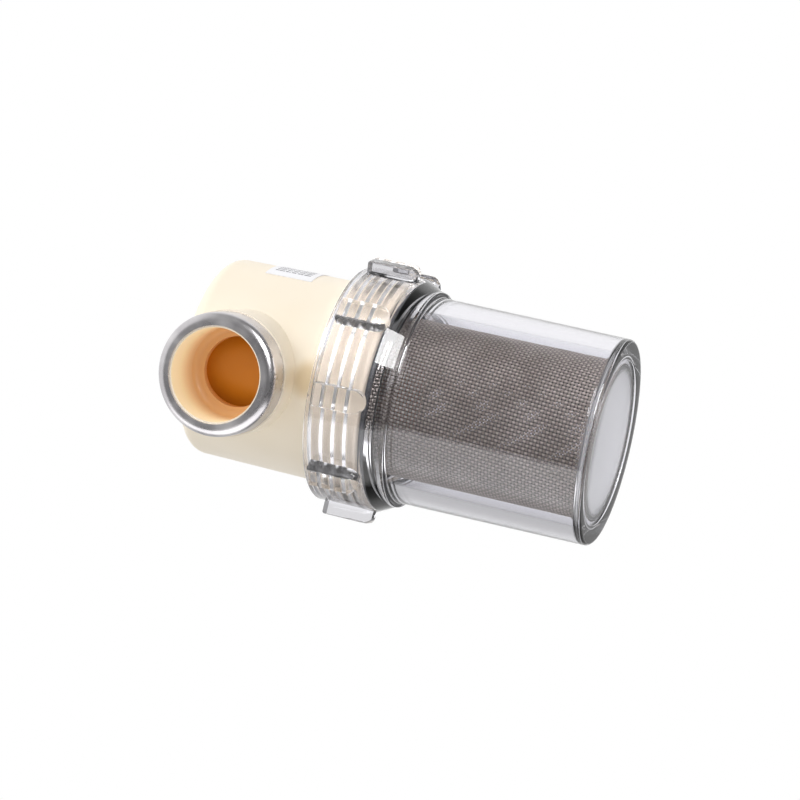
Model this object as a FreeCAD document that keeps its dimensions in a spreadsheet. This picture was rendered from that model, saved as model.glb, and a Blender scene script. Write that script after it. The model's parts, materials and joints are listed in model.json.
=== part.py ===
import FreeCAD, Part
import math
import os
import Sketcher

# In-line sea water strainer: a moulded head with two coaxial pipe ports, a clear screw-on bowl
# with grip lobes, and a cylinder of woven wire inside it. The part stands on the bowl's base:
# origin at the centre of the base, +Z up the bowl's axis, the ports along Y. Millimetres.

doc = FreeCAD.newDocument("sea_water_strainer")
sheet = doc.addObject("Spreadsheet::Sheet", "Dimensions")

DIMENSIONS = [
    # bowl
    ("bowl_radius", 37.5, "outer radius at the base"),
    ("bowl_radius_top", 38.1, "outer radius where the drafted wall meets the collar"),
    ("bowl_bore", 31.9, "inner radius of the wall round the screen"),
    ("base_thickness", 2.8, "solid floor of the bowl"),
    ("foot_bore", 30.0, "radius of the shallow recess inside the foot rim"),
    ("foot_recess", 0.6, "depth of that recess"),
    ("collar_start", 71.8, "height of the step below the collar"),
    ("collar_radius", 40.0, "outer radius just above that step"),
    ("flare_start", 73.0, "height where the collar starts to widen"),
    ("skirt_start", 79.6, "height where the lobed skirt starts"),
    ("skirt_radius", 43.4, "outer radius of the skirt between its lobes"),
    ("skirt_top", 101.0, "height of the skirt's open end"),
    ("seal_shelf", 79.3, "height of the shelf that carries the seal"),
    ("foot_round", 1.2, "rounding of the foot's outer edge"),
    ("edge_round", 0.6, "rounding of the collar, the shelf and the open end"),
    # grip lobes
    ("lobe_count", 9, "grip lobes round the skirt"),
    ("lobe_crest", 48.2, "radius of a lobe's crest"),
    ("lobe_width", 8.5, "width of a lobe"),
    ("lobe_foot", 78.9, "height of a lobe's rounded end"),
    ("lobe_top", 97.6, "height of a lobe's square end"),
    ("lobe_nose", 3.8, "rounding of the crest at that end"),
    ("lobe_root", 1.4, "how far a lobe reaches into the skirt's wall"),
    # screw joint between the bowl and the head
    ("thread_radius", 40.3, "radius of the head's screw skirt"),
    ("thread_gap", 0.3, "radial gap between the skirt and the bowl's screw bore"),
    ("thread_length", 18.2, "height of the screw skirt"),
    ("rim_gap", 0.3, "gap between the seal and the head's rim"),
    # seal
    ("seal_height", 1.5, "thickness of the flat seal"),
    ("seal_bore", 33.2, "inner radius of the seal"),
    ("seal_gap", 0.4, "gap between the seal's rim and the screw bore"),
    # head
    ("head_radius", 37.4, "outer radius just above the screw skirt"),
    ("crown_radius", 36.8, "outer radius at the crown"),
    ("crown_round", 5.0, "rounding of the crown's edge"),
    ("chamber_radius", 33.0, "outer radius of the ring-shaped inlet chamber"),
    ("chamber_top", 146.0, "height of the chambers' ceiling"),
    ("spigot_radius", 28.0, "outer radius of the spigot that the screen sleeves over"),
    ("spigot_bore", 25.0, "inner radius of the spigot"),
    ("spigot_drop", 1.8, "how far the spigot stands below the head's rim"),
    # ports
    ("port_height", 131.0, "height of the ports' common axis"),
    ("port_reach", 57.3, "distance from the bowl's axis to a port's end face"),
    ("hub_radius", 22.4, "radius of the hub behind each ring"),
    ("neck_radius", 20.9, "radius of the hub's turned-down end"),
    ("port_bore", 16.6, "radius of the pipe socket"),
    ("port_floor", 2.3, "wall between the pipe socket's bottom and the chamber"),
    ("port_depth", "=port_reach - chamber_radius - port_floor", "depth of the pipe socket"),
    ("port_round", 2.5, "rounding of the corner at the socket's bottom"),
    ("duct_bore", 12.7, "radius of the way on from the socket"),
    ("duct_wall", 2.9, "wall of the pipe that crosses to the spigot"),
    # steel rings
    ("ring_width", 11.2, "axial width of the steel ring"),
    ("ring_wall", 1.0, "thickness of the steel"),
    ("ring_round", 3.0, "rounding of the ring's front edge"),
    ("neck_ease", 0.2, "how much rounder the hub's end is than the ring's inside"),
    ("ring_bore", 17.3, "radius of the opening in the ring's front face"),
    # screen
    ("mesh_radius", 29.0, "outer radius of the woven wall"),
    ("mesh_wall", 0.7, "thickness of the woven wall"),
    ("screen_lap", 8.7, "how far the screen sleeves over the spigot"),
    ("mesh_top", "=seal_shelf + seal_height + rim_gap - spigot_drop + screen_lap",
     "height of the screen's upper end"),
    ("mesh_rib", 0.35, "height of the wire ridges"),
    ("locating_gap", 0.3, "gap between the screen and what it sleeves over"),
    ("locating_height", 2.5, "height of the ring on the floor that centres the screen"),
    ("locating_wall", 0.9, "wall of that ring"),
    ("window_rows", 10, "rows of gaps in the woven wall"),
    ("window_count", 12, "gaps in a row"),
    ("window_width", 9.0, "width of a gap"),
    ("window_share", 0.62, "share of a row's height that is open"),
    ("band_height", 4.0, "height of the band that binds the screen's upper edge"),
    ("band_wall", 0.5, "thickness of the band"),
    # label
    ("label_low", 117.4, "lower edge of the sticker"),
    ("label_height", 18.1, "height of the sticker"),
    ("label_arc", 39.0, "degrees that the sticker covers"),
    ("label_angle", 359.2, "direction of the sticker's middle"),
    ("label_wall", 0.2, "thickness of the sticker"),
]

for row, (alias, size, note) in enumerate(DIMENSIONS, start=1):
    sheet.set("A%d" % row, note)
    sheet.set("B%d" % row, str(size))
    sheet.setAlias("B%d" % row, alias)
doc.recompute()


def bound(expression):
    """The expression with every alias written as a reference to the sheet."""
    words = expression.replace("(", " ( ").replace(")", " ) ").split()
    names = {alias for alias, _, _ in DIMENSIONS}
    return " ".join("Dimensions." + word if word in names else word for word in words)


def value(expression):
    result = sheet.evalExpression(bound(expression))
    return float(getattr(result, "Value", result))


def tie(thing, prop, expression):
    thing.setExpression(prop, bound(expression))


def new_body(label):
    body = doc.addObject("PartDesign::Body", label)
    body.Label = label
    return body


def datum(body, role):
    return next(item for item in body.Origin.OriginFeatures if item.Role == role)


def new_sketch(body, name, plane, offset="0"):
    sketch = body.newObject("Sketcher::SketchObject", name)
    sketch.AttachmentSupport = (datum(body, plane), [""])
    sketch.MapMode = "FlatFace"
    if offset != "0":
        tie(sketch, "AttachmentOffset.Base.z", offset)
    return sketch


def pin(sketch, line, end, spot):
    """Fix one end of a line by two dimensions bound to the sheet."""
    for kind, expression in (("DistanceX", spot[0]), ("DistanceY", spot[1])):
        index = sketch.addConstraint(Sketcher.Constraint(kind, -1, 1, line, end, value(expression)))
        tie(sketch, "Constraints[%d]" % index, expression)


def closed_loop(sketch, corners):
    """A closed outline of straight lines through corners given as pairs of expressions."""
    spots = [FreeCAD.Vector(value(across), value(up), 0) for across, up in corners]
    first = sketch.GeometryCount
    for index, spot in enumerate(spots):
        sketch.addGeometry(Part.LineSegment(spot, spots[(index + 1) % len(spots)]), False)
    for index, corner in enumerate(corners):
        following = first + (index + 1) % len(corners)
        sketch.addConstraint(Sketcher.Constraint("Coincident", first + index, 2, following, 1))
        pin(sketch, first + index, 1, corner)


def circle(sketch, radius, height="0"):
    spot = FreeCAD.Vector(0, value(height), 0)
    index = sketch.addGeometry(Part.Circle(spot, FreeCAD.Vector(0, 0, 1), value(radius)), False)
    size = sketch.addConstraint(Sketcher.Constraint("Radius", index, value(radius)))
    tie(sketch, "Constraints[%d]" % size, radius)
    if height == "0":
        sketch.addConstraint(Sketcher.Constraint("Coincident", index, 3, -1, 1))
    else:
        sketch.addConstraint(Sketcher.Constraint("PointOnObject", index, 3, -2))
        rise = sketch.addConstraint(Sketcher.Constraint("DistanceY", -1, 1, index, 3, value(height)))
        tie(sketch, "Constraints[%d]" % rise, height)


def revolve(body, sketch, kind="PartDesign::Revolution"):
    feature = body.newObject(kind, sketch.Name + "_turned")
    feature.Profile = sketch
    feature.ReferenceAxis = (sketch, ["V_Axis"])
    feature.Angle = 360
    doc.recompute()
    return feature


def extrude(body, sketch, length, kind="PartDesign::Pad", both=False, back=False):
    feature = body.newObject(kind, sketch.Name + "_extruded")
    feature.Profile = sketch
    tie(feature, "Length", length)
    feature.Midplane = both
    feature.Reversed = back
    doc.recompute()
    return feature


def ring_edges(shape, rings):
    """Names of the full circles about the bowl's axis at the given (radius, height) pairs."""
    names = []
    for number, edge in enumerate(shape.Edges, start=1):
        curve = edge.Curve
        if not isinstance(curve, Part.Circle) or abs(curve.Axis.z) < 0.99:
            continue
        for radius, height in rings:
            if abs(curve.Radius - value(radius)) < 0.01 and abs(curve.Center.z - value(height)) < 0.01:
                names.append("Edge%d" % number)
    return names


def port_edges(shape, radius, reach):
    """Names of the circles about the ports' axis of that radius, on both sides at that reach."""
    names = []
    for number, edge in enumerate(shape.Edges, start=1):
        curve = edge.Curve
        if not isinstance(curve, Part.Circle) or abs(curve.Axis.y) < 0.99:
            continue
        off = abs(curve.Center.y) - value(reach)
        if abs(curve.Radius - value(radius)) < 0.01 and abs(off) < 0.01:
            names.append("Edge%d" % number)
    return names


def round_edges(body, base, names, radius):
    feature = body.newObject("PartDesign::Fillet", base.Name + "_rounded")
    feature.Base = (base, names)
    tie(feature, "Radius", radius)
    doc.recompute()
    return feature


# ---------------------------------------------------------------- bowl: one clear moulding
def make_bowl():
    body = new_body("bowl")
    section = new_sketch(body, "bowl_section", "XZ_Plane")
    screw_bore = "thread_radius + thread_gap"
    ring_out = "mesh_radius - mesh_wall - locating_gap"
    ring_in = ring_out + " - locating_wall"
    ring_top = "base_thickness + locating_height"
    closed_loop(section, [
        ("0", "foot_recess"),
        ("foot_bore", "foot_recess"),
        ("foot_bore", "0"),
        ("bowl_radius", "0"),
        ("bowl_radius_top", "collar_start"),
        ("collar_radius", "collar_start"),
        ("collar_radius", "flare_start"),
        ("skirt_radius", "skirt_start"),
        ("skirt_radius", "skirt_top"),
        (screw_bore, "skirt_top"),
        (screw_bore, "seal_shelf"),
        ("bowl_bore", "seal_shelf"),
        ("bowl_bore", "base_thickness"),
        (ring_out, "base_thickness"),
        (ring_out, ring_top),
        (ring_in, ring_top),
        (ring_in, "base_thickness"),
        ("0", "base_thickness"),
    ])
    turned = revolve(body, section)
    foot = round_edges(body, turned, ring_edges(turned.Shape, [("bowl_radius", "0")]), "foot_round")
    round_edges(body, foot, ring_edges(foot.Shape, [
        ("collar_radius", "collar_start"),
        (screw_bore, "skirt_top"),
        ("skirt_radius", "skirt_top"),
        ("bowl_bore", "seal_shelf"),
    ]), "edge_round")

    # One lobe: a bar along the axis, square at the open end and rounded at the other.
    lobe = new_sketch(body, "lobe_face", "XZ_Plane", "lobe_crest")
    half = value("lobe_width") / 2
    centre = value("lobe_foot") + half
    top = value("lobe_top")
    corners = [(-half, centre), (-half, top), (half, top), (half, centre)]
    for start, end in zip(corners, corners[1:]):
        lobe.addGeometry(Part.LineSegment(FreeCAD.Vector(*start, 0), FreeCAD.Vector(*end, 0)), False)
    whole = Part.Circle(FreeCAD.Vector(0, centre, 0), FreeCAD.Vector(0, 0, 1), half)
    lobe.addGeometry(Part.ArcOfCircle(whole, math.pi, 2 * math.pi), False)
    lobe.addConstraint(Sketcher.Constraint("Coincident", 0, 2, 1, 1))
    lobe.addConstraint(Sketcher.Constraint("Coincident", 1, 2, 2, 1))
    lobe.addConstraint(Sketcher.Constraint("Coincident", 2, 2, 3, 2))
    lobe.addConstraint(Sketcher.Constraint("Coincident", 3, 1, 0, 1))
    left = "0 - lobe_width / 2"
    right = "lobe_width / 2"
    middle = "lobe_foot + lobe_width / 2"
    pin(lobe, 0, 1, (left, middle))
    pin(lobe, 1, 1, (left, "lobe_top"))
    pin(lobe, 2, 1, (right, "lobe_top"))
    pin(lobe, 2, 2, (right, middle))
    rise = lobe.addConstraint(Sketcher.Constraint("DistanceY", -1, 1, 3, 3, centre))
    tie(lobe, "Constraints[%d]" % rise, middle)
    bar = extrude(body, lobe, "lobe_crest - skirt_radius + lobe_root", back=True)

    lobes = body.newObject("PartDesign::PolarPattern", "lobe_ring")
    lobes.Originals = [bar]
    lobes.Axis = (datum(body, "Z_Axis"), [""])
    lobes.Angle = 360
    tie(lobes, "Occurrences", "lobe_count")
    body.Tip = lobes
    doc.recompute()

    # The rounded end also curves down towards the skirt: a cut turned round all lobes at once.
    nose = new_sketch(body, "lobe_nose_cut", "XZ_Plane")
    outer = "lobe_crest + 0.25"
    radius = value("lobe_nose")
    spots = [
        (outer, "lobe_foot + lobe_nose"),
        (outer + " + 2", "lobe_foot + lobe_nose"),
        (outer + " + 2", "lobe_foot - 1"),
        (outer + " - lobe_nose", "lobe_foot - 1"),
        (outer + " - lobe_nose", "lobe_foot"),
    ]
    points = [FreeCAD.Vector(value(across), value(up), 0) for across, up in spots]
    for start, end in zip(points, points[1:]):
        nose.addGeometry(Part.LineSegment(start, end), False)
    hub = FreeCAD.Vector(value(outer) - radius, value("lobe_foot") + radius, 0)
    whole = Part.Circle(hub, FreeCAD.Vector(0, 0, 1), radius)
    nose.addGeometry(Part.ArcOfCircle(whole, 1.5 * math.pi, 2 * math.pi), False)
    for line in range(3):
        nose.addConstraint(Sketcher.Constraint("Coincident", line, 2, line + 1, 1))
    nose.addConstraint(Sketcher.Constraint("Coincident", 3, 2, 4, 1))
    nose.addConstraint(Sketcher.Constraint("Coincident", 4, 2, 0, 1))
    for line, spot in enumerate(spots[:4]):
        pin(nose, line, 1, spot)
    pin(nose, 3, 2, spots[4])
    rise = nose.addConstraint(Sketcher.Constraint("DistanceY", -1, 1, 4, 3, hub.y))
    tie(nose, "Constraints[%d]" % rise, "lobe_foot + lobe_nose")
    revolve(body, nose, "PartDesign::Groove")
    return body


# ---------------------------------------------------------------- head: one opaque moulding
def make_head():
    body = new_body("head_body")
    rim = "seal_shelf + seal_height + rim_gap"
    foot = rim + " - spigot_drop"
    skirt_top = rim + " + thread_length"
    section = new_sketch(body, "head_section", "XZ_Plane")
    closed_loop(section, [
        ("0", foot),
        ("spigot_radius", foot),
        ("spigot_radius", rim),
        ("thread_radius - 0.8", rim),
        ("thread_radius", rim + " + 0.8"),
        ("thread_radius", skirt_top),
        ("head_radius", skirt_top + " + 1.5"),
        ("crown_radius", "port_height + hub_radius"),
        ("0", "port_height + hub_radius"),
    ])
    turned = revolve(body, section)
    crown_edges = ring_edges(turned.Shape, [("crown_radius", "port_height + hub_radius")])
    round_edges(body, turned, crown_edges, "crown_round")

    hubs = new_sketch(body, "hub_circle", "XZ_Plane")
    circle(hubs, "hub_radius", "port_height")
    extrude(body, hubs, "2 * ( port_reach - ring_width )", both=True)
    necks = new_sketch(body, "neck_circle", "XZ_Plane")
    circle(necks, "neck_radius", "port_height")
    necked = extrude(body, necks, "2 * ( port_reach - ring_wall )", both=True)
    ends = port_edges(necked.Shape, "neck_radius", "port_reach - ring_wall")
    round_edges(body, necked, ends, "ring_round - ring_wall + neck_ease")

    chamber = new_sketch(body, "chamber_section", "XZ_Plane")
    closed_loop(chamber, [
        ("spigot_radius", foot + " - 1"),
        ("chamber_radius", foot + " - 1"),
        ("chamber_radius", "chamber_top"),
        ("spigot_radius", "chamber_top"),
    ])
    revolve(body, chamber, "PartDesign::Groove")

    crossing = new_sketch(body, "crossing_circle", "XZ_Plane")
    circle(crossing, "duct_bore + duct_wall", "port_height")
    extrude(body, crossing, "chamber_radius + 1", back=True)

    inside = new_sketch(body, "spigot_section", "XZ_Plane")
    closed_loop(inside, [
        ("0", foot + " - 1"),
        ("spigot_bore", foot + " - 1"),
        ("spigot_bore", "chamber_top"),
        ("0", "chamber_top"),
    ])
    revolve(body, inside, "PartDesign::Groove")

    # The inlet opens into the ring-shaped chamber only; the outlet crosses it into the spigot.
    inlet = new_sketch(body, "inlet_duct", "XZ_Plane", "port_reach")
    circle(inlet, "duct_bore", "port_height")
    extrude(body, inlet, "port_reach - spigot_radius - 1.3", "PartDesign::Pocket")
    outlet = new_sketch(body, "outlet_duct", "XZ_Plane", "0 - port_reach")
    circle(outlet, "duct_bore", "port_height")
    extrude(body, outlet, "port_reach", "PartDesign::Pocket", back=True)
    for name, offset, back in (("inlet_socket", "port_reach", False),
                               ("outlet_socket", "0 - port_reach", True)):
        socket = new_sketch(body, name, "XZ_Plane", offset)
        circle(socket, "port_bore", "port_height")
        drilled = extrude(body, socket, "port_depth", "PartDesign::Pocket", back=back)
    corners = port_edges(drilled.Shape, "port_bore", "port_reach - port_depth")
    round_edges(body, drilled, corners, "port_round")
    return body


# ---------------------------------------------------------------- pressed steel port rings
def make_ring(label, turn):
    body = new_body(label)
    section = new_sketch(body, label + "_section", "XZ_Plane")
    closed_loop(section, [
        ("neck_radius", "0"),
        ("neck_radius + ring_wall", "0"),
        ("neck_radius + ring_wall", "ring_width"),
        ("ring_bore", "ring_width"),
        ("ring_bore", "ring_width - ring_wall"),
        ("neck_radius", "ring_width - ring_wall"),
    ])
    turned = revolve(body, section)
    outside = ring_edges(turned.Shape, [("neck_radius + ring_wall", "ring_width")])
    rolled = round_edges(body, turned, outside, "ring_round")
    inside = ring_edges(rolled.Shape, [("neck_radius", "ring_width - ring_wall")])
    round_edges(body, rolled, inside, "ring_round - ring_wall")
    seat = value("port_reach - ring_width")
    side = math.copysign(seat, turn)
    rotation = FreeCAD.Rotation(FreeCAD.Vector(1, 0, 0), -math.copysign(90, turn))
    body.Placement = FreeCAD.Placement(FreeCAD.Vector(0, side, value("port_height")), rotation)
    tie(body, "Placement.Base.z", "port_height")
    sign = "" if turn > 0 else "0 - "
    tie(body, "Placement.Base.y", sign + "( port_reach - ring_width )")
    return body


# ---------------------------------------------------------------- plain tubes: seal and band
def make_tube(label, inner, outer, low, height):
    """A plain tube about the bowl's axis, cut from one cylinder by another."""
    sleeve = doc.addObject("Part::Cylinder", label + "_outside")
    tie(sleeve, "Radius", outer)
    hole = doc.addObject("Part::Cylinder", label + "_inside")
    tie(hole, "Radius", inner)
    for item in (sleeve, hole):
        tie(item, "Height", height)
        tie(item, "Placement.Base.z", low)
    tube = doc.addObject("Part::Cut", label)
    tube.Label = label
    tube.Base = sleeve
    tube.Tool = hole
    return tube


# ---------------------------------------------------------------- screen: a rolled woven wall
def make_screen():
    body = new_body("screen_mesh")
    rows = int(value("window_rows"))
    section = new_sketch(body, "mesh_section", "XZ_Plane")
    inner = "mesh_radius - mesh_wall"
    valley = "mesh_radius - mesh_rib"
    pitch = "( mesh_top - band_height - base_thickness ) / window_rows"
    solid = pitch + " * ( 1 - window_share )"
    corners = [(inner, "base_thickness"), ("mesh_radius", "base_thickness")]
    for row in range(rows):
        start = "base_thickness + " + str(row) + " * " + pitch
        following = "base_thickness + " + str(row + 1) + " * " + pitch
        corners.append(("mesh_radius", start + " + " + solid))
        corners.append((valley, start + " + " + solid))
        corners.append((valley, following))
        corners.append(("mesh_radius", following))
    corners.append(("mesh_radius", "mesh_top"))
    corners.append((inner, "mesh_top"))
    closed_loop(section, corners)
    revolve(body, section)

    window = new_sketch(body, "mesh_window", "XZ_Plane")
    closed_loop(window, [
        ("0 - window_width / 2", "base_thickness + " + solid),
        ("window_width / 2", "base_thickness + " + solid),
        ("window_width / 2", "base_thickness + " + pitch),
        ("0 - window_width / 2", "base_thickness + " + pitch),
    ])
    cut = extrude(body, window, "mesh_radius + 1", "PartDesign::Pocket")
    windows = body.newObject("PartDesign::MultiTransform", "mesh_windows")
    rise = body.newObject("PartDesign::LinearPattern", "window_column")
    rise.Direction = (datum(body, "Z_Axis"), [""])
    tie(rise, "Length", pitch + " * ( window_rows - 1 )")
    tie(rise, "Occurrences", "window_rows")
    spin = body.newObject("PartDesign::PolarPattern", "window_row")
    spin.Axis = (datum(body, "Z_Axis"), [""])
    spin.Angle = 360
    tie(spin, "Occurrences", "window_count")
    windows.Originals = [cut]
    windows.Transformations = [rise, spin]
    body.Tip = windows
    doc.recompute()
    return body


# ---------------------------------------------------------------- label: a sticker on the head
def make_label():
    draft = value("head_radius") - value("crown_radius")
    foot = value("seal_shelf + seal_height + rim_gap + thread_length + 1.5")
    slope = draft / (value("port_height + hub_radius") - foot)
    low = value("label_low")
    top = low + value("label_height")
    wall = value("label_wall")
    near = value("head_radius") - slope * (low - foot)
    far = value("head_radius") - slope * (top - foot)
    corners = [(near, low), (near + wall, low), (far + wall, top), (far, top), (near, low)]
    outline = Part.makePolygon([FreeCAD.Vector(across, 0, up) for across, up in corners])
    arc = value("label_arc")
    shape = Part.Face(outline).revolve(FreeCAD.Vector(), FreeCAD.Vector(0, 0, 1), arc)
    label = doc.addObject("Part::Feature", "label")
    label.Label = "label"
    label.Shape = shape
    turn = value("label_angle") - arc / 2
    label.Placement = FreeCAD.Placement(FreeCAD.Vector(), FreeCAD.Rotation(FreeCAD.Vector(0, 0, 1), turn))
    return label


pieces = [
    make_head(),
    make_ring("inlet_ring", -1),
    make_ring("outlet_ring", 1),
    make_bowl(),
    make_tube("bowl_seal", "seal_bore", "thread_radius + thread_gap - seal_gap", "seal_shelf",
              "seal_height"),
    make_screen(),
    make_tube("screen_band", "mesh_radius", "mesh_radius + band_wall", "mesh_top - band_height",
              "band_height"),
    make_label(),
]
doc.recompute()

for item in doc.Objects:
    if "Invalid" in item.State or "Error" in item.State:
        raise RuntimeError("failed: " + item.Name)
os.makedirs("parts", exist_ok=True)
for piece in pieces:
    shape = piece.Shape
    if shape.isNull() or not shape.isValid():
        raise RuntimeError("bad shape: " + piece.Label)
    print(piece.Label, len(shape.Solids), round(shape.Volume), shape.BoundBox)
    shape.exportStep("parts/" + piece.Label + ".step")
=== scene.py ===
import json
import math

import bpy
from mathutils import Matrix, Vector

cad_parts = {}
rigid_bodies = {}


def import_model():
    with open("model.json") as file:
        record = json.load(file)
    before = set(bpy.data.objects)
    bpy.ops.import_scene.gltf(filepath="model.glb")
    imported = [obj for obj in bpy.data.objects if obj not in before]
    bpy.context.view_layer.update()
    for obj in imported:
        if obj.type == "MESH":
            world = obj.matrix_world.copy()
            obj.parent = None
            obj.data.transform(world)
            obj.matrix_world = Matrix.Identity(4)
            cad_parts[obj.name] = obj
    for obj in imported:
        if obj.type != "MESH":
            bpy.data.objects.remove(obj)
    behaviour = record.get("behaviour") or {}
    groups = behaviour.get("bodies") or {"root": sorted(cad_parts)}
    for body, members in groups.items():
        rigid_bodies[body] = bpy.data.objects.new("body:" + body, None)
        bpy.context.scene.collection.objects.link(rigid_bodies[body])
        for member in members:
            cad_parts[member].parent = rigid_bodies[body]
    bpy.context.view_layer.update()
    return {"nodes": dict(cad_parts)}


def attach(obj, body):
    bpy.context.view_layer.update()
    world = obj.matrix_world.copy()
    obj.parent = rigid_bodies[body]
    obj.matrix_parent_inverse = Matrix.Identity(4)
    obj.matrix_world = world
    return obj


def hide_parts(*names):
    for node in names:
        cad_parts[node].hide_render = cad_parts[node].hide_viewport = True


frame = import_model()
nodes = frame["nodes"]

# ------------------------------------------------------------------ camera
# A short telephoto lens a little below the strainer, which is seen lying on its side with the
# head to the left: the bowl's foot and the inlet face the camera.
MM = 0.001
CAMERA_AT = Vector((104.129, -823.404, -166.363)) * MM
CAMERA_AZIMUTH = math.radians(97.315)
CAMERA_ELEVATION = math.radians(16.535)
CAMERA_ROLL = math.radians(77.285)
CAMERA_LENS = 106.857

aim = Vector((math.cos(CAMERA_ELEVATION) * math.cos(CAMERA_AZIMUTH),
              math.cos(CAMERA_ELEVATION) * math.sin(CAMERA_AZIMUTH),
              math.sin(CAMERA_ELEVATION)))
level = aim.cross(Vector((0, 0, 1))).normalized()
upright = level.cross(aim)
right = math.cos(CAMERA_ROLL) * level - math.sin(CAMERA_ROLL) * upright
top = math.sin(CAMERA_ROLL) * level + math.cos(CAMERA_ROLL) * upright
camera_data = bpy.data.cameras.new("camera")
camera_data.lens = CAMERA_LENS
camera_data.sensor_width = 36
camera = bpy.data.objects.new("camera", camera_data)
bpy.context.collection.objects.link(camera)
camera.matrix_world = (Matrix.Translation(CAMERA_AT)
                       @ Matrix((right, top, -aim)).transposed().to_4x4())
bpy.context.scene.camera = camera

# ------------------------------------------------------------------ studio
# A white room lights the strainer from all round, darker at the near end, with a bright table
# along its low side and two soft boxes. The pale floor shows from above only.


class Flow:
    """One shader socket. Python arithmetic on it adds Math nodes, and node() adds any other."""

    def __init__(self, tree, socket=None):
        self.tree, self.socket = tree, socket

    def node(self, kind, settings, feeds, out=0):
        made = self.tree.nodes.new(kind)
        for key, setting in settings.items():
            setattr(made, key, setting)
        for key, feed in feeds.items():
            if isinstance(feed, Flow):
                self.tree.links.new(feed.socket, made.inputs[key])
            else:
                made.inputs[key].default_value = feed
        return Flow(self.tree, made.outputs[out])

    def math(self, operation, *terms):
        return self.node("ShaderNodeMath", {"operation": operation}, dict(enumerate(terms)))

    def __add__(self, other):
        return self.math("ADD", self, other)

    def __sub__(self, other):
        return self.math("SUBTRACT", self, other)

    def __rsub__(self, other):
        return self.math("SUBTRACT", other, self)

    def __mul__(self, other):
        return self.math("MULTIPLY", self, other)

    def __truediv__(self, other):
        return self.math("DIVIDE", self, other)

    __radd__, __rmul__ = __add__, __mul__

    def step(self, low, high, start=0.0, end=1.0):
        """A smooth change from start to end as the value goes from low to high."""
        return self.node("ShaderNodeMapRange", {"interpolation_type": "SMOOTHSTEP"},
                         {0: self, 1: low, 2: high, 3: start, 4: end})

    def axes(self):
        """The vector's three parts."""
        parts = self.tree.nodes.new("ShaderNodeSeparateXYZ")
        self.tree.links.new(self.socket, parts.inputs[0])
        return [Flow(self.tree, part) for part in parts.outputs]

    def blend(self, first, second):
        """Colour first where this value is 0 and second where it is 1."""
        first, second = [c if isinstance(c, Flow) else (*c, 1) for c in (first, second)]
        return self.node("ShaderNodeMix", {"data_type": "RGBA"}, {0: self, 6: first, 7: second}, 2)


# Brightness of the room's near end, of the table and of the window along one side.
ROOM_DARK, TABLE_GLOW, SIDE_GLOW = 0.26, 1.7, 0.95
STRAINER_MIDDLE = Vector((0, 0, 0.075))
FLOOR_RADIUS, FLOOR_HEIGHT = 1.6, -0.0006

scene = bpy.context.scene
scene.view_settings.view_transform = "Standard"
world = bpy.data.worlds.new("studio")
scene.world = world
world.use_nodes = True
sky = Flow(world.node_tree)
across, depth, height = sky.node("ShaderNodeTexCoord", {}, {}, 0).axes()
behind = across * aim.x + depth * aim.y + height * aim.z
low = across * -1
table = low.step(0.485, 0.505) * behind.step(0.0, 0.3, 1.0, 0.0) * TABLE_GLOW
beneath = (height * -1).step(0.05, 0.15, 1.0, 0.45)
room = behind.step(0.0, 0.6, ROOM_DARK, 1.0) * low.step(0.15, 0.7, 1.0, 0.55) * beneath
side = height.step(0.42, 0.65) * SIDE_GLOW
glow = room.math("MAXIMUM", room.math("MAXIMUM", room, table), side)
backdrop, on_matt = [sky.node("ShaderNodeLightPath", {}, {}, kind)
                     for kind in ("Is Camera Ray", "Is Diffuse Ray")]
soft = behind.step(-0.4, 0.8, 0.66, 0.95)
lit = sky.node("ShaderNodeMix", {"data_type": "FLOAT"}, {0: on_matt, 2: glow, 3: soft})
light = world.node_tree.nodes["Background"]
world.node_tree.links.new(lit.math("MAXIMUM", lit, backdrop).socket, light.inputs["Strength"])
light.inputs["Color"].default_value = (1, 1, 1, 1)


def soft_box(name, azimuth, elevation, distance, width, length, power, matt, gloss):
    """A soft box that faces the strainer's middle and lights its matt colour or its gloss."""
    azimuth, elevation = math.radians(azimuth), math.radians(elevation)
    way = Vector((math.cos(elevation) * math.cos(azimuth),
                  math.cos(elevation) * math.sin(azimuth),
                  math.sin(elevation)))
    lamp = bpy.data.lights.new(name, "AREA")
    lamp.shape, lamp.size, lamp.size_y, lamp.energy = "RECTANGLE", width, length, power
    box = bpy.data.objects.new(name, lamp)
    box.matrix_world = (Matrix.Translation(STRAINER_MIDDLE + way * distance)
                        @ way.to_track_quat("Z", "Y").to_matrix().to_4x4())
    bpy.context.collection.objects.link(box)
    box.visible_camera = False
    box.visible_diffuse, box.visible_glossy = matt, gloss


soft_box("flare_light", 323, -34, 0.9, 0.53, 0.4, 9, matt=False, gloss=True)
soft_box("key_light", 310, 35, 1.1, 0.8, 0.8, 6.5, matt=True, gloss=False)

bpy.ops.object.select_all(action="DESELECT")
bpy.ops.mesh.primitive_circle_add(vertices=64, radius=FLOOR_RADIUS, fill_type="NGON",
                                  location=(0, 0, FLOOR_HEIGHT))
floor = bpy.context.object
floor.name = "floor"
for sight in ("visible_diffuse", "visible_glossy", "visible_transmission", "visible_shadow"):
    setattr(floor, sight, False)
pale = bpy.data.materials.new("floor_paint")
pale.use_nodes = True
paint = pale.node_tree.nodes["Principled BSDF"]
paint.inputs["Base Color"].default_value = (0.86, 0.86, 0.86, 1)
paint.inputs["Roughness"].default_value = 0.7
under = Flow(pale.node_tree)
from_below = under.node("ShaderNodeNewGeometry", {}, {}, "Backfacing")
clear = under.node("ShaderNodeBsdfTransparent", {}, {})
cover = under.node("ShaderNodeMixShader", {},
                   {0: from_below, 1: Flow(pale.node_tree, paint.outputs[0]), 2: clear})
pale.node_tree.links.new(cover.socket, pale.node_tree.nodes["Material Output"].inputs[0])
floor.data.materials.append(pale)

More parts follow.
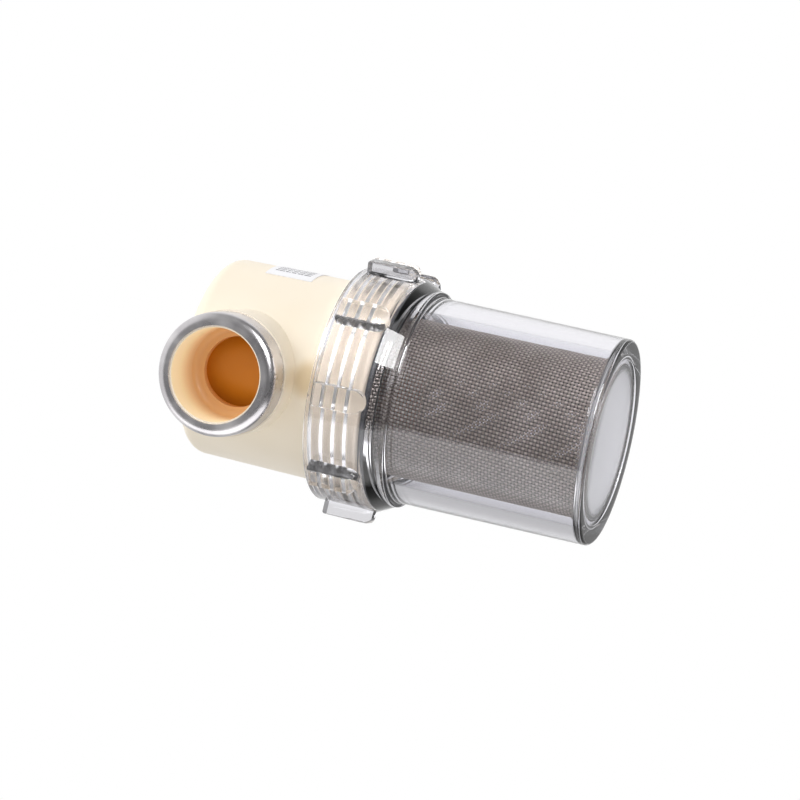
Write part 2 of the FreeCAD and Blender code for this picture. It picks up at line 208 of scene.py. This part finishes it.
# ------------------------------------------------------------------ bowl
# One clear moulding: a thick drafted cup, a flared collar and a skirt with nine grip lobes and a
# coarse right-hand thread inside. It screws on to the head from below and is taken off by hand.
# Sizes are in millimetres, and outlines are corners as (radius, height, rounding). This one runs
# round the wall's section, from the foot's middle outwards.
BOWL_WALL = [
    (0, 0.6, 0), (30, 0.6, 0.3), (30, 0, 0.3), (37.5, 0, 1.4), (38.1, 71.8, 0.8), (40, 71.8, 0.6),
    (40, 73, 1.0), (43.4, 79.6, 1.2), (43.4, 101, 0.6), (40.6, 101, 0.6), (40.6, 79.2, 0.6),
    (31.9, 79.2, 1.0), (31.9, 2.8, 1.5), (28, 2.8, 0.3), (28, 5.3, 0.3), (27.1, 5.3, 0.3),
    (27.1, 2.8, 0.3), (0, 2.8, 0),
]
THREAD_PITCH = 4.4
THREAD_START = 81.5
GROOVE = [(40.5, -2.13), (40.5, 2.13), (41.9, 0.3), (41.9, -0.3)]
GROOVE_TURNS = 5
LOBES = 9
LOBE_MIDDLE = (45.1, 0, 88.25)
LOBE_SIZE = (6.2, 8.5, 18.7)
LOBE_END, LOBE_EDGE = 4.2, 0.7
LOBE_LIMIT = [(41.5, 98, 0), (41.5, 78.8, 0), (48.3, 78.8, 4.0), (48.3, 98, 0)]
# Chords to a rounded corner, steps to a full turn of the wall and of a thread, and the reach
# within which loose points are merged.
CHORDS, WALL_STEPS, THREAD_STEPS = 5, 180, 120
WELD = 0.002


def rounded(corners):
    """The outline through the corners, each (radius, height, rounding) turned into short chords."""
    line = []
    for index, (across, up, rounding) in enumerate(corners):
        here = Vector((across, up))
        if not rounding:
            line.append(here)
            continue
        back = (Vector(corners[index - 1][:2]) - here).normalized()
        on = (Vector(corners[(index + 1) % len(corners)][:2]) - here).normalized()
        half = back.angle(on) / 2
        hub = here + (back + on).normalized() * rounding / math.sin(half)
        first = here + back * rounding / math.tan(half)
        last = here + on * rounding / math.tan(half)
        for chord in range(CHORDS + 1):
            spoke = (first - hub).lerp(last - hub, chord / CHORDS).normalized()
            line.append(hub + spoke * rounding)
    return line


def alone(piece):
    """The piece selected and active, and nothing else."""
    bpy.ops.object.select_all(action="DESELECT")
    piece.select_set(True)
    bpy.context.view_layer.objects.active = piece


def in_edit(piece):
    alone(piece)
    bpy.ops.object.mode_set(mode="EDIT")
    bpy.ops.mesh.select_all(action="SELECT")


def drawn(name, line, closed):
    """A chain of edges in the XZ plane through the line's points, in millimetres."""
    bpy.ops.object.select_all(action="DESELECT")
    bpy.ops.mesh.primitive_plane_add(size=MM)
    piece = bpy.context.object
    piece.name = piece.data.name = name
    bpy.ops.object.mode_set(mode="EDIT")
    bpy.ops.mesh.select_mode(type="VERT")
    bpy.ops.mesh.select_all(action="SELECT")
    bpy.ops.mesh.merge(type="CENTER")
    bpy.ops.transform.translate(value=(line[0].x * MM, 0, line[0].y * MM))
    ends = line[1:] + line[:1] if closed else line[1:]
    for here, there in zip(line, ends):
        step = (there - here) * MM
        bpy.ops.mesh.extrude_region_move(TRANSFORM_OT_translate={"value": (step.x, 0, step.y)})
    return piece


def weld():
    """Doubles merged and faces turned outwards, from edit mode to object mode."""
    bpy.ops.mesh.select_all(action="SELECT")
    bpy.ops.mesh.remove_doubles(threshold=WELD * MM)
    bpy.ops.mesh.normals_make_consistent(inside=False)
    bpy.ops.object.mode_set(mode="OBJECT")


def turned(name, line, closed=False):
    """A body turned about the bowl's axis."""
    piece = drawn(name, line, closed)
    bpy.ops.mesh.select_all(action="SELECT")
    bpy.ops.mesh.spin(steps=WALL_STEPS, angle=math.tau, center=(0, 0, 0), axis=(0, 0, 1))
    weld()
    return piece


def applied(piece, kind, **settings):
    """One modifier, set and applied."""
    alone(piece)
    modifier = piece.modifiers.new(kind.lower(), kind)
    for key, setting in settings.items():
        setattr(modifier, key, setting)
    bpy.ops.object.modifier_apply(modifier=modifier.name)


def turn_piece(piece, angle):
    """The piece turned about the bowl's axis, in its mesh."""
    piece.rotation_euler.z = angle
    alone(piece)
    bpy.ops.object.transform_apply(location=True, rotation=True, scale=True)


def helix(name, section, lead, turns):
    """A thread's section, corners as (radius, height), swept up the right-hand helix that both
    threads share, from lead turns above its start, with closed ends."""
    start = THREAD_START + THREAD_PITCH * lead
    piece = drawn(name, [Vector((across, up + start)) for across, up in section], True)
    bpy.ops.mesh.select_all(action="SELECT")
    bpy.ops.mesh.remove_doubles(threshold=WELD * MM)
    bpy.ops.object.mode_set(mode="OBJECT")
    steps = round(THREAD_STEPS * turns)
    applied(piece, "SCREW", axis="Z", angle=math.tau * turns, steps=steps, render_steps=steps,
            screw_offset=THREAD_PITCH * MM * turns, use_smooth_shade=False)
    in_edit(piece)
    bpy.ops.mesh.select_mode(type="EDGE")
    bpy.ops.mesh.select_all(action="DESELECT")
    bpy.ops.mesh.select_non_manifold(extend=False)
    bpy.ops.mesh.fill_holes(sides=0)
    bpy.ops.mesh.select_mode(type="VERT")
    weld()
    turn_piece(piece, math.tau * lead)
    return piece


bowl = turned("clear_bowl", rounded(BOWL_WALL))

# One lobe: a bar whose low end is rounded in the wall's plane and again down towards the skirt.
bpy.ops.object.select_all(action="DESELECT")
bpy.ops.mesh.primitive_cube_add(size=1, location=[place * MM for place in LOBE_MIDDLE])
lobe = bpy.context.object
lobe.name = "lobe"
lobe.scale = [size * MM for size in LOBE_SIZE]
bpy.ops.object.transform_apply(location=True, rotation=True, scale=True)


def pick(piece, wanted):
    """Select the edges whose two ends, in millimetres, pass the test, from edit mode."""
    bpy.ops.mesh.select_mode(type="EDGE")
    bpy.ops.mesh.select_all(action="DESELECT")
    bpy.ops.object.mode_set(mode="OBJECT")
    spots = [vertex.co / MM for vertex in piece.data.vertices]
    for edge in piece.data.edges:
        edge.select = wanted([spots[end] for end in edge.vertices])
    bpy.ops.object.mode_set(mode="EDIT")


def at_low_end(ends):
    """An edge that runs out from the skirt at the lobe's low end."""
    return abs(ends[0].x - ends[1].x) > 1 and max(end.z for end in ends) < 80


def on_crest(ends):
    """An edge of the lobe's outer face."""
    return min(end.x for end in ends) > 48


in_edit(lobe)
pick(lobe, at_low_end)
bpy.ops.mesh.bevel(offset=LOBE_END * MM, segments=10, affect="EDGES")
pick(lobe, on_crest)
bpy.ops.mesh.bevel(offset=LOBE_EDGE * MM, segments=3, affect="EDGES")
weld()
for turn in range(1, LOBES):
    alone(lobe)
    bpy.ops.object.duplicate()
    copy = bpy.context.selected_objects[0]
    copy.rotation_euler.z = math.tau * turn / LOBES
bpy.ops.object.select_all(action="DESELECT")
for piece in list(bpy.context.collection.objects):
    if piece.name.startswith(lobe.name):
        piece.select_set(True)
bpy.context.view_layer.objects.active = lobe
bpy.ops.object.transform_apply(location=True, rotation=True, scale=True)
bpy.ops.object.join()
turn_piece(lobe, -math.pi / 2)
envelope = turned("lobe_envelope", rounded(LOBE_LIMIT), closed=True)
applied(lobe, "BOOLEAN", operation="INTERSECT", object=envelope, solver="EXACT")
bpy.data.objects.remove(envelope)
groove = helix("thread_cutter", GROOVE, 0, GROOVE_TURNS)
for tool, operation in ((lobe, "UNION"), (groove, "DIFFERENCE")):
    applied(bowl, "BOOLEAN", operation=operation, object=tool, solver="EXACT")
    bpy.data.objects.remove(tool)
alone(bowl)
bpy.ops.object.shade_smooth_by_angle(angle=math.radians(32))


def finish(name):
    """A new material: itself, its main shader's inputs, and a Flow to build its patterns on."""
    material = bpy.data.materials.new(name)
    material.use_nodes = True
    shader = material.node_tree.nodes["Principled BSDF"]
    return material, shader, Flow(material.node_tree)


def feed(shader, name, flow):
    """The flow led into one of the main shader's inputs."""
    flow.tree.links.new(flow.socket, shader.inputs[name])


def spot(flow):
    """The place on the piece, in the part's own frame."""
    return flow.node("ShaderNodeTexCoord", {}, {}, "Object")


def off_axis(first, second):
    """The distance from an axis, out of the two parts square to it."""
    return first.math("SQRT", first * first + second * second)


def noise(flow, place, scale, detail=2.0):
    return flow.node("ShaderNodeTexNoise", {},
                     {"Vector": place, "Scale": scale, "Detail": detail})


def bump(shader, flow, height, strength, distance):
    feed(shader, "Normal", flow.node("ShaderNodeBump", {},
                                     {"Height": height, "Strength": strength,
                                      "Distance": distance}))


def dress(piece, material):
    piece.data.materials.clear()
    piece.data.materials.append(material)


clear_plastic, shader, flow = finish("clear_polycarbonate")
place = spot(flow)
shader.inputs["Transmission Weight"].default_value = 1
shader.inputs["IOR"].default_value = 1.56
across, along, up = place.axes()
reach = off_axis(across, along)
satin_floor = up.step(2.9 * MM, 3.1 * MM, 1.0, 0.0) * reach.step(25 * MM, 28 * MM, 0.45, 0.0)
satin_thread = up.step(79.5 * MM, 80 * MM) * reach.step(42.0 * MM, 42.4 * MM, 0.22, 0.0)
# The lobes are painted a darker grey than the rest of the clear wall: painted shade.
shaded_lobes = reach.step(43.2 * MM, 45 * MM)
feed(shader, "Base Color", shaded_lobes.blend((0.9, 0.895, 0.935), (0.75, 0.745, 0.77)))
# Painted light: the near side of the bowl's satin floor glows a faint grey through emission.
painted_glow_floor = satin_floor * along.step(-27 * MM, -17 * MM)
feed(shader, "Emission Color", painted_glow_floor.blend((0, 0, 0), (0.24, 0.24, 0.25)))
shader.inputs["Emission Strength"].default_value = 1
polish = noise(flow, place, 90).step(0.35, 0.75, 0.01, 0.05)
satin = flow.math("MAXIMUM", satin_floor, satin_thread)
feed(shader, "Roughness", flow.math("MAXIMUM", polish, satin))
bump(shader, flow, noise(flow, place, 45), 0.06, 0.4 * MM)
shade = flow.node("ShaderNodeLightPath", {}, {}, "Is Shadow Ray")
through = flow.node("ShaderNodeBsdfTransparent", {}, {"Color": (0.86, 0.87, 0.88, 1)})
both = flow.node("ShaderNodeMixShader", {},
                 {0: shade, 1: Flow(flow.tree, shader.outputs[0]), 2: through})
flow.tree.links.new(both.socket, flow.tree.nodes["Material Output"].inputs[0])
dress(bowl, clear_plastic)
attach(bowl, "bowl")
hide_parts("bowl")

# ------------------------------------------------------------------ seal
# A flat black nitrile ring that lies on the bowl's inner shelf; the head's rim presses on it.
rubber, shader, flow = finish("seal_nitrile")
place = spot(flow)
mottle = noise(flow, place, 300).step(0.3, 0.7)
feed(shader, "Base Color", mottle.blend((0.018, 0.018, 0.02), (0.035, 0.035, 0.04)))
shader.inputs["Roughness"].default_value = 0.42
nodes["bowl_seal"].material_slots[0].material = rubber

# ------------------------------------------------------------------ screen
# Stainless wire, twenty to the inch, woven plain, rolled to a cylinder and bound along its
# upper edge by a spot-welded band. It stands loose in the bowl, round the head's spigot.
WIRES_ROUND, WIRE_ROWS = 144, 68
WIRE_WIDE, WIRE_DEEP, WIRE_WELD = 0.74, 0.5, 0.01
SCREEN_RADIUS, SCREEN_FOOT, SCREEN_TOP = 28.5, 3.1, 87.8
# How far a wire swings in and out, the twist of the whole weave in radians, and the radii across
# which a wire changes from a painted near-black shade on the screen's inner side to its own tone.
WEAVE, WEAVE_SKEW = 0.22, 0.2
PAINTED_SHADE_RADII = (28.58, 28.92)
row_step = (SCREEN_TOP - SCREEN_FOOT) / WIRE_ROWS
wire_turn = math.tau / WIRES_ROUND


def wire_square(across, up, flat):
    """The section of a wire at the screen's wall, left in edit mode."""
    bpy.ops.object.select_all(action="DESELECT")
    bpy.ops.mesh.primitive_plane_add(size=WIRE_WIDE * MM, location=(across * MM, 0, up * MM),
                                     rotation=(0, 0, 0) if flat else (math.pi / 2, 0, 0))
    bpy.context.object.scale.x = WIRE_DEEP / WIRE_WIDE
    bpy.ops.object.transform_apply(location=True, rotation=True, scale=True)
    bpy.ops.object.mode_set(mode="EDIT")
    bpy.ops.mesh.select_all(action="SELECT")
    return bpy.context.object


def arrayed(piece, count, step=None, turn=None):
    """count copies in one mesh, each moved up by step, or turned about the bowl's axis."""
    if turn is None:
        applied(piece, "ARRAY", count=count, use_relative_offset=False, use_constant_offset=True,
                constant_offset_displace=(0, 0, step * MM), use_merge_vertices=True,
                merge_threshold=WIRE_WELD * MM)
        return
    post = bpy.data.objects.new("post", None)
    post.rotation_euler.z = turn
    bpy.context.collection.objects.link(post)
    bpy.context.view_layer.update()
    applied(piece, "ARRAY", count=count, use_relative_offset=False, use_object_offset=True,
            offset_object=post, use_merge_vertices=True, merge_threshold=WIRE_WELD * MM)
    bpy.data.objects.remove(post)


def joined(first, second):
    """The second piece's mesh added to the first's."""
    alone(first)
    second.select_set(True)
    bpy.ops.object.join()


def tube_unit(name, flat, phase, up):
    """Two steps of a wire: its square section moved on twice, out and in again, as an open tube."""
    wire = wire_square(SCREEN_RADIUS + phase * WEAVE, up, flat)
    wire.name = name
    for side in (-1, 1):
        shift = 2 * side * phase * WEAVE * MM
        if flat:
            rise = (shift, 0, row_step * MM)
            bpy.ops.mesh.extrude_region_move(TRANSFORM_OT_translate={"value": rise})
        else:
            bpy.ops.mesh.extrude_region_move(TRANSFORM_OT_translate={"value": (0, 0, 0)})
            lean = wire_turn if side < 0 else 2 * wire_turn
            bpy.ops.transform.rotate(value=-wire_turn, orient_axis="Z", center_override=(0, 0, 0))
            on = Matrix.Rotation(lean, 3, "Z") @ Vector((1, 0, 0))
            bpy.ops.transform.translate(value=on * shift)
    bpy.ops.object.mode_set(mode="OBJECT")

    def runs_along(face):
        """How far the face looks along the wire: up for warp, round the axis for weft."""
        bearing = math.atan2(face.center.y, face.center.x)
        round_axis = Matrix.Rotation(bearing, 3, "Z") @ Vector((0, 1, 0))
        return abs(face.normal.z if flat else face.normal.dot(round_axis))

    doomed = [face.index for face in wire.data.polygons if runs_along(face) > 0.9]
    bpy.ops.object.mode_set(mode="EDIT")
    bpy.ops.mesh.select_mode(type="FACE")
    bpy.ops.mesh.select_all(action="DESELECT")
    bpy.ops.object.mode_set(mode="OBJECT")
    for face in doomed:
        wire.data.polygons[face].select = True
    bpy.ops.object.mode_set(mode="EDIT")
    bpy.ops.mesh.delete(type="ONLY_FACE")
    bpy.ops.mesh.select_mode(type="VERT")
    bpy.ops.object.mode_set(mode="OBJECT")
    return wire


warp = tube_unit("screen_warp", True, 1, SCREEN_FOOT)
other = tube_unit("warp_b", True, -1, SCREEN_FOOT)
turn_piece(other, wire_turn)
joined(warp, other)
arrayed(warp, WIRE_ROWS // 2, step=2 * row_step)
arrayed(warp, WIRES_ROUND // 2, turn=2 * wire_turn)
weft = tube_unit("screen_weft", False, -1, SCREEN_FOOT)
other = tube_unit("weft_b", False, 1, SCREEN_FOOT + row_step)
joined(weft, other)
arrayed(weft, WIRES_ROUND // 2, turn=2 * wire_turn)
arrayed(weft, WIRE_ROWS // 2, step=2 * row_step)


def wire_finish(name, dull, clean):
    """Bare wire in a tone that varies at random, painted near black towards the screen's inner side
    as painted shade.
    """
    material, shader, flow = finish(name)
    place = spot(flow)
    across, along, up = place.axes()
    # Below these radii the wire is painted near black: painted shade on the screen's inner side.
    crown = off_axis(across, along).step(PAINTED_SHADE_RADII[0] * MM, PAINTED_SHADE_RADII[1] * MM)
    tone = noise(flow, place, 60).step(0.3, 0.7).blend(dull, clean)
    feed(shader, "Base Color", crown.blend((0.02, 0.017, 0.015), tone))
    feed(shader, "Roughness", noise(flow, place, 400).step(0.3, 0.7, 0.5, 0.65))
    shader.inputs["Metallic"].default_value = 0.3
    return material


# The weft is a darker copy of the warp's steel: painted shade, lit and shaded copies of one wire.
warp_wire = wire_finish("warp_wire", (0.3, 0.256, 0.22), (0.44, 0.384, 0.342))
weft_wire = wire_finish("weft_wire", (0.19, 0.157, 0.133), (0.27, 0.232, 0.203))
for wires, material in ((warp, warp_wire), (weft, weft_wire)):
    in_edit(wires)
    weld()
    applied(wires, "SIMPLE_DEFORM", deform_method="TWIST", deform_axis="Z", angle=WEAVE_SKEW)
    bpy.ops.object.shade_smooth()
    dress(wires, material)
    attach(wires, "screen")
    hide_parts("screen_mesh")
nodes["screen_band"].material_slots[0].material = warp_wire

# ------------------------------------------------------------------ head
# A cream moulding, semi-gloss: crown, two coaxial hubs with pipe sockets, and a skirt that carries
# the male thread. Deep in the sockets the cream is painted a darker orange shade with a painted
# glow, the hollow core is painted a dark shade, one side carries a painted tan shadow, and the
# thread under the bowl's skirt is painted darker.
PORT_HEIGHT = 131
HEAD_THREAD = [(40.1, -2.05), (40.1, 2.05), (41.55, 0.25), (41.55, -0.25)]
HEAD_LEAD, HEAD_TURNS = 0.45, 3.1
PAINTED_SHADOW_MIDDLE, PAINTED_SHADOW_HALF = (3, 104.5), (9, 6.5)
cream, shader, flow = finish("head_cream")
place = spot(flow)
across, along, up = place.axes()
# The head's hollow core is painted dark brown: painted shade.
painted_core_shade = (off_axis(across, along).step(33.2 * MM, 33.8 * MM, 1.0, 0.0)
        * up.step(112 * MM, 114 * MM, 1.0, 0.0))
in_socket = off_axis(across, up - PORT_HEIGHT * MM).step(16.55 * MM, 16.75 * MM, 1.0, 0.0)
# Deeper in the sockets the cream is painted orange and darker, with a painted glow: painted light.
deep = flow.math("ABSOLUTE", along).step(28 * MM, 52 * MM, 1.0, 0.0)
painted_socket_shade = deep.blend((0.92, 0.83, 0.62), (0.6, 0.25, 0.02))
painted_socket_glow = deep.blend((0.26, 0.21, 0.12), (0.06, 0.01, 0.0))
feed(shader, "Emission Color", in_socket.blend((0, 0, 0), painted_socket_glow))
shader.inputs["Emission Strength"].default_value = 1
skin_and_painted_shade = noise(flow, place, 25).step(0.3, 0.7).blend((0.92, 0.82, 0.66), (0.94, 0.85, 0.71))
# A painted tan shadow on the head's front, beside the bowl's skirt.
flat_x, flat_z = [(part - middle * MM) / (half * MM)
                  for part, middle, half in zip((across, up), PAINTED_SHADOW_MIDDLE, PAINTED_SHADOW_HALF)]
painted_shadow = (off_axis(flat_x, flat_z).step(0.35, 1.0, 0.75, 0.0)
         * along.step(-34 * MM, -30 * MM, 1.0, 0.0))
skin_and_painted_shade = painted_shadow.blend(skin_and_painted_shade, (0.66, 0.5, 0.28))
# Below the skirt's rim the cream is painted darker: painted shade under the clear bowl.
skin_and_painted_shade = up.step(98 * MM, 101 * MM, 0.75, 0.0).blend(skin_and_painted_shade, (0.72, 0.61, 0.46))
feed(shader, "Base Color", painted_core_shade.blend(in_socket.blend(skin_and_painted_shade, painted_socket_shade), (0.2, 0.075, 0.03)))
feed(shader, "Roughness", noise(flow, place, 160).step(0.3, 0.7, 0.3, 0.42))
bump(shader, flow, noise(flow, place, 900), 0.1, 0.05 * MM)
nodes["head_body"].material_slots[0].material = cream

thread = helix("head_thread", HEAD_THREAD, HEAD_LEAD, HEAD_TURNS)
bpy.ops.object.shade_smooth_by_angle(angle=math.radians(30))
dress(thread, cream)
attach(thread, "head")

# ------------------------------------------------------------------ port rings
# Two caps of pressed stainless steel, polished, pushed over the hubs' turned-down ends. They keep
# the plastic sockets from splitting when a pipe is screwed in, and carry a few scuffs.
steel, shader, flow = finish("polished_steel")
place = spot(flow)
smear = noise(flow, place, 70, 4.0)
feed(shader, "Base Color", smear.step(0.35, 0.7).blend((0.56, 0.54, 0.56), (0.78, 0.76, 0.77)))
shader.inputs["Metallic"].default_value = 1
feed(shader, "Roughness", smear.step(0.3, 0.75, 0.22, 0.4))
bump(shader, flow, noise(flow, place, 240, 6.0), 0.3, 0.2 * MM)
for name in ("inlet_ring", "outlet_ring"):
    nodes[name].material_slots[0].material = steel

# ------------------------------------------------------------------ sticker
# A white vinyl sticker on the head's side, printed with a row of plain grey bars. It is glued on
# and lies close to the round wall.
BAR_STEP = 3.3
vinyl, shader, flow = finish("sticker_vinyl")
place = spot(flow)
across, along, up = place.axes()
bearing = flow.math("ARCTAN2", along, across) * math.degrees(1)
rows = flow.math("FRACT", (bearing + 13.4) / BAR_STEP)
bar = rows.step(0.1, 0.2) * rows.step(0.6, 0.7, 1.0, 0.0)
margin = (bearing.step(-13.6, -13.2) * bearing.step(12.8, 13.2, 1.0, 0.0)
          * up.step(119.4 * MM, 119.9 * MM) * up.step(133.2 * MM, 133.7 * MM, 1.0, 0.0))
patchy = flow.node("ShaderNodeTexNoise", {"noise_dimensions": "1D"},
                   {"W": up, "Scale": 900, "Detail": 1.0})
ink = bar * margin * patchy.step(0.38, 0.52, 0.1, 1.0)
feed(shader, "Base Color", ink.blend((0.9, 0.9, 0.93), (0.12, 0.12, 0.14)))
shader.inputs["Roughness"].default_value = 0.35
nodes["label"].material_slots[0].material = vinyl
